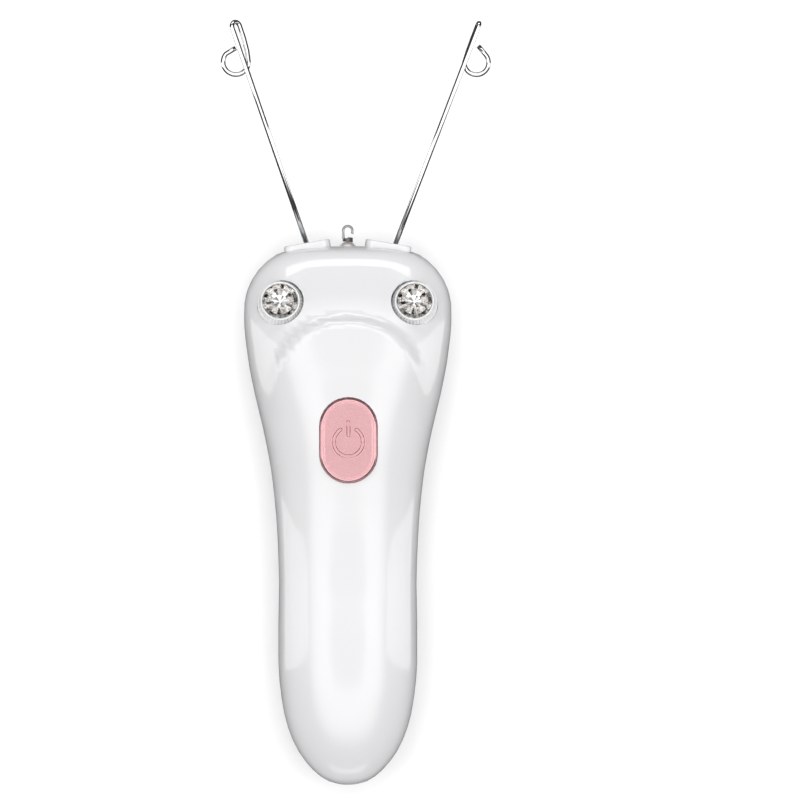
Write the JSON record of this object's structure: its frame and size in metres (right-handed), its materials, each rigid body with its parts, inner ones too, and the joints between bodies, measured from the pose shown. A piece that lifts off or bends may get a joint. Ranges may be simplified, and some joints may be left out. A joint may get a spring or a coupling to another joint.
{
  "type": "threading epilator",
  "caption": "Handheld electric threading epilator with a rounded body, two spring-wire arms in a V, a centre hook, a power button and jewelled trim.",
  "frame": {"origin": "on the flat land of the back, in the body's mid-plane, at the foot of the head", "axes": "+Z out of the front, +Y along the body towards the arms, +X to the right of someone facing the front"},
  "size_m": [0.0678, 0.1919, 0.0326],
  "materials": {
    "shell_white": "glossy moulded ABS",
    "trim_white": "glossy moulded ABS",
    "stone": "clear, brilliant cut",
    "button_pink": "rose-gold metallic coat",
    "dark_plastic": "satin acetal",
    "inner_plastic": "moulded ABS",
    "board_green": "solder mask",
    "steel": "zinc plated",
    "spring_steel": "oiled",
    "eyelet_metal": "nickel plated",
    "chrome_wire": "bright chrome",
    "battery_wrap": "metal can in a dark gloss sleeve without text"
  },
  "bodies": {
    "housing": {"front_shell": "shell_white", "back_shell": "shell_white", "slot_rim_left": "trim_white", "slot_rim_right": "trim_white", "stone_collar_left": "trim_white", "stone_collar_right": "trim_white", "stone_left": "stone", "stone_right": "stone", "switch_body": "steel", "circuit_board": "board_green", "board_screw_1": "steel", "board_screw_2": "steel", "chassis": "inner_plastic", "pivot_keeper": "steel", "pivot_pin_left": "steel", "pivot_pin_right": "steel", "motor": "steel", "motor_strap": "inner_plastic", "hook_eyelet": "eyelet_metal", "battery_tray": "inner_plastic", "contact_bridge": "steel", "contact_tab_left": "steel", "contact_tab_right": "steel", "battery_left": "battery_wrap", "battery_right": "battery_wrap", "contact_spring_left": "spring_steel", "contact_spring_right": "spring_steel", "case_screw_1": "steel", "case_screw_2": "steel", "case_screw_3": "steel", "case_screw_4": "steel"},
    "arm_left": {"arm_lever_left": "dark_plastic", "arm_wire_left": "chrome_wire"},
    "arm_right": {"arm_lever_right": "dark_plastic", "arm_wire_right": "chrome_wire"},
    "button": {"power_button": "button_pink", "switch_plunger": "dark_plastic"},
    "cam": {"motor_shaft": "steel", "drive_cam": "dark_plastic"},
    "hook": {"centre_hook": "chrome_wire", "hook_collar": "spring_steel", "hook_washer": "steel", "hook_spring": "spring_steel"},
    "cover": {"battery_cover": "shell_white"}
  },
  "joints": [
    {"name": "arm_left_swing", "type": "hinge", "parent": "housing", "child": "arm_left", "pos_m": [-0.006, 0.053, 0.015], "axis": [0, 0, 1], "range_deg": [-4, 6]},
    {"name": "arm_right_swing", "type": "hinge", "parent": "housing", "child": "arm_right", "pos_m": [0.006, 0.053, 0.015], "axis": [0, 0, 1], "range_deg": [-6, 4]},
    {"name": "button_press", "type": "slide", "parent": "housing", "child": "button", "axis": [0, 0, -1], "range_m": [0, 0.0008], "stiffness_N_per_m": 800},
    {"name": "cam_spin", "type": "hinge", "parent": "housing", "child": "cam", "pos_m": [0, 0.0345, 0.015], "axis": [0, 1, 0], "continuous": true},
    {"name": "hook_pull", "type": "slide", "parent": "housing", "child": "hook", "axis": [0, 1, 0], "range_m": [0, 0.002], "stiffness_N_per_m": 400},
    {"name": "cover_tilt", "type": "hinge", "parent": "housing", "child": "cover", "pos_m": [0, -0.0007, 0.0003], "axis": [1, 0, 0], "range_deg": [0, 75]}
  ],
  "couplings": [
    {"joint": "arm_right_swing", "follows": "arm_left_swing", "ratio": -1}
  ]
}
